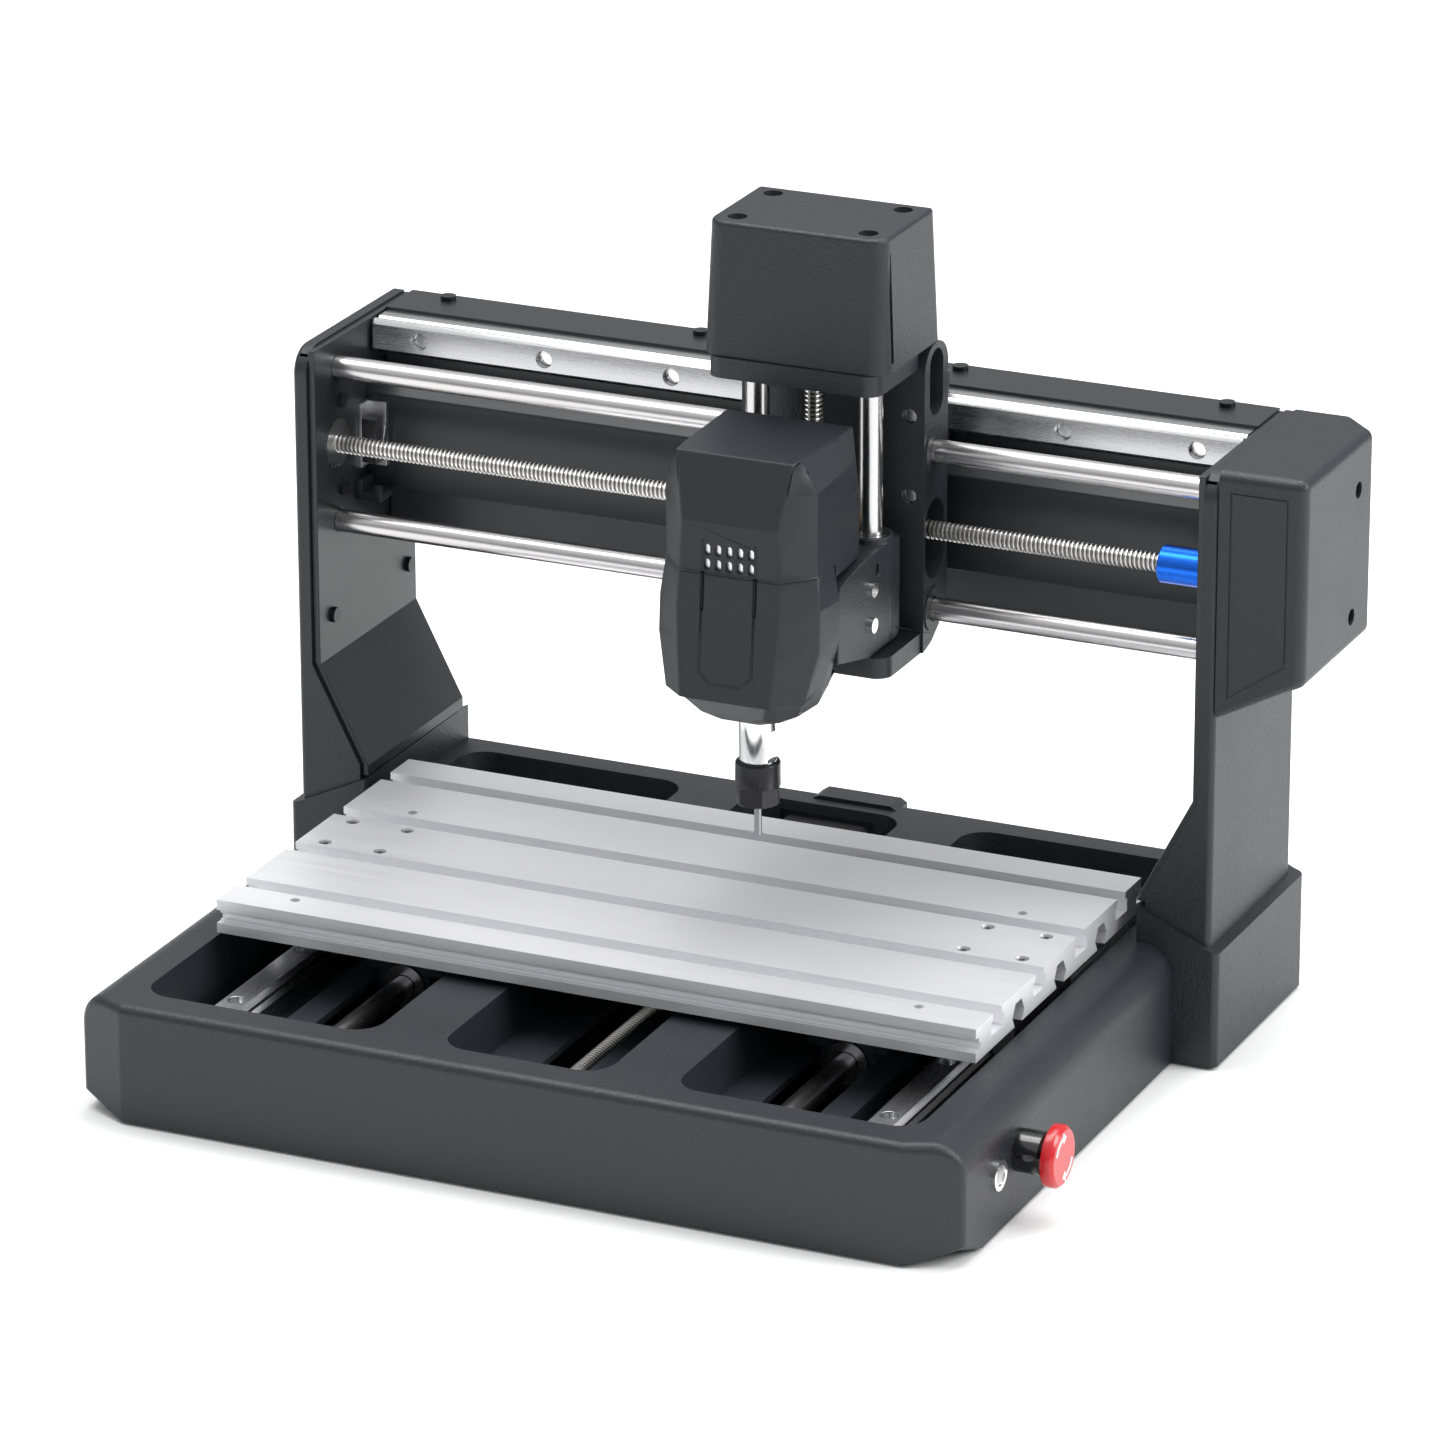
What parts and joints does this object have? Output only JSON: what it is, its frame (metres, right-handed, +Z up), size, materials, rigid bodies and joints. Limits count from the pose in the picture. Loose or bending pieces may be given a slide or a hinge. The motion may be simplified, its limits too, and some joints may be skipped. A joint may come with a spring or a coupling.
{
  "type": "cnc router",
  "caption": "Desktop CNC router: charcoal moulded base, aluminium T-slot table sliding front to back, fixed gantry with rods, rail and lead screw, and a spindle head on a sliding carriage",
  "frame": {"origin": "centre of the footprint's bounding box, on the floor under the rubber feet", "axes": "X to the machine's right along the gantry, Y from the front to the back along the table's travel, Z up"},
  "size_m": [0.4664, 0.3434, 0.3515],
  "materials": {
    "bearing_black": "dark bearing seal",
    "bearing_steel": "satin bearing steel",
    "bed_aluminium": "satin brushed",
    "black_steel": "black oxide",
    "block_steel": "satin slide block",
    "blue_anodised": "blue anodised",
    "brass_nut": "turned brass",
    "cap_steel": "bright cap screws",
    "carbide": "ground carbide",
    "chrome_ring": "polished ring",
    "chromed_rod": "polished hard chrome",
    "circuit_board": "green board",
    "cover_black": "smooth charcoal moulded plastic",
    "dark_sheet": "dark smooth sheet",
    "gloss_black": "glossy black",
    "ground_steel": "ground bright steel",
    "key_steel": "satin push button",
    "motor_black": "black stepper body",
    "motor_silver": "plated spindle motor can",
    "moulded_black": "fine-grained charcoal moulded plastic",
    "port_metal": "plated port shell",
    "rubber": "dark rubber",
    "satin_plate": "satin dark paint",
    "spring_steel": "spring steel",
    "stop_red": "glossy red",
    "switch_black": "smooth black",
    "thread_steel": "rolled bright thread",
    "zinc_sheet": "plated sheet"
  },
  "bodies": {
    "base": {"base_shell": "moulded_black", "base_plate": "dark_sheet", "rubber_feet": "rubber", "button_screws": "black_steel", "axis_motors": "motor_black", "rail_screws": "cap_steel", "y_rails": "ground_steel", "y_rods": "chromed_rod", "end_bearings": "bearing_steel", "leg_shell_left": "moulded_black", "leg_shell_right": "moulded_black", "leg_plates": "satin_plate", "x_motor_cover": "moulded_black", "beam": "satin_plate", "x_rail": "ground_steel", "x_rods": "chromed_rod", "limit_bracket": "zinc_sheet", "limit_switch": "switch_black", "cable_hook": "moulded_black", "control_board": "circuit_board", "rear_ports": "port_metal", "power_switch_frame": "gloss_black", "estop_collar": "gloss_black", "home_bezel": "chrome_ring"},
    "y_screw": {"y_lead_screw": "thread_steel", "y_coupler": "blue_anodised"},
    "x_screw": {"x_lead_screw": "thread_steel", "x_coupler": "blue_anodised"},
    "bed": {"bed_table": "bed_aluminium", "table_screws": "black_steel", "y_rail_blocks": "block_steel", "table_blocks": "moulded_black", "y_bearings": "bearing_steel", "y_nut": "brass_nut"},
    "x_carriage": {"carriage_frame": "moulded_black", "carriage_screws": "cap_steel", "carriage_bearings": "bearing_black", "x_nut": "brass_nut", "slider_plate": "moulded_black", "rail_slider": "block_steel", "z_motor": "motor_black", "z_motor_housing": "moulded_black", "z_rods": "chromed_rod"},
    "z_screw": {"z_lead_screw": "thread_steel", "z_coupler": "blue_anodised"},
    "z_head": {"z_carriage": "moulded_black", "z_bearings": "bearing_steel", "z_nut": "brass_nut", "bracket_screws": "cap_steel", "spindle_motor": "motor_silver", "spindle_cover": "cover_black"},
    "spindle": {"spindle_shaft": "ground_steel", "collet_nut": "black_steel", "collet": "spring_steel", "end_mill": "carbide"},
    "stop_button": {"estop_plunger": "gloss_black"},
    "stop_head": {"estop_head": "stop_red"},
    "home_key": {"home_button": "key_steel"},
    "lever": {"limit_lever": "spring_steel"},
    "rocker": {"power_rocker": "gloss_black"}
  },
  "joints": [
    {"name": "y_slide", "type": "slide", "parent": "base", "child": "bed", "axis": [0, 1, 0], "range_m": [-0.09, 0.09]},
    {"name": "x_slide", "type": "slide", "parent": "base", "child": "x_carriage", "axis": [1, 0, 0], "range_m": [-0.185, 0.115]},
    {"name": "z_slide", "type": "slide", "parent": "x_carriage", "child": "z_head", "axis": [0, 0, 1], "range_m": [-0.001, 0.05]},
    {"name": "y_screw_turn", "type": "hinge", "parent": "base", "child": "y_screw", "pos_m": [-0.0168, -0.03035, 0.0255], "axis": [0, 1, 0], "continuous": true},
    {"name": "x_screw_turn", "type": "hinge", "parent": "base", "child": "x_screw", "pos_m": [-0.0168, 0.08815, 0.212], "axis": [1, 0, 0], "continuous": true},
    {"name": "z_screw_turn", "type": "hinge", "parent": "x_carriage", "child": "z_screw", "pos_m": [0.0182, 0.05845, 0.2215], "axis": [0, 0, 1], "continuous": true},
    {"name": "spindle_turn", "type": "hinge", "parent": "z_head", "child": "spindle", "pos_m": [0.0182, 0.00115, 0.1315], "axis": [0, 0, 1], "continuous": true},
    {"name": "stop_push", "type": "slide", "parent": "base", "child": "stop_button", "axis": [1, 0, 0], "range_m": [-0.0025, 0]},
    {"name": "stop_twist", "type": "hinge", "parent": "stop_button", "child": "stop_head", "pos_m": [0.1942, -0.10465, 0.0285], "axis": [1, 0, 0], "range_deg": [0, 45]},
    {"name": "home_push", "type": "slide", "parent": "base", "child": "home_key", "axis": [1, 0, 0], "range_m": [-0.001, 0], "stiffness_N_per_m": 400, "springref_m": 0.0005},
    {"name": "lever_flick", "type": "hinge", "parent": "base", "child": "lever", "pos_m": [-0.2099, 0.11095, 0.1987], "axis": [0, 1, 0], "range_deg": [-8, 0], "stiffness_Nm_per_rad": 0.01, "springref_deg": 171.89},
    {"name": "rocker_tip", "type": "hinge", "parent": "base", "child": "rocker", "pos_m": [-0.1293, 0.16365, 0.0165], "axis": [1, 0, 0], "range_deg": [-8, 8]}
  ],
  "couplings": [
    {"joint": "y_screw_turn", "follows": "y_slide", "rad_per_m": 1570.8},
    {"joint": "x_screw_turn", "follows": "x_slide", "rad_per_m": 1570.8},
    {"joint": "z_screw_turn", "follows": "z_slide", "rad_per_m": 1570.8}
  ]
}
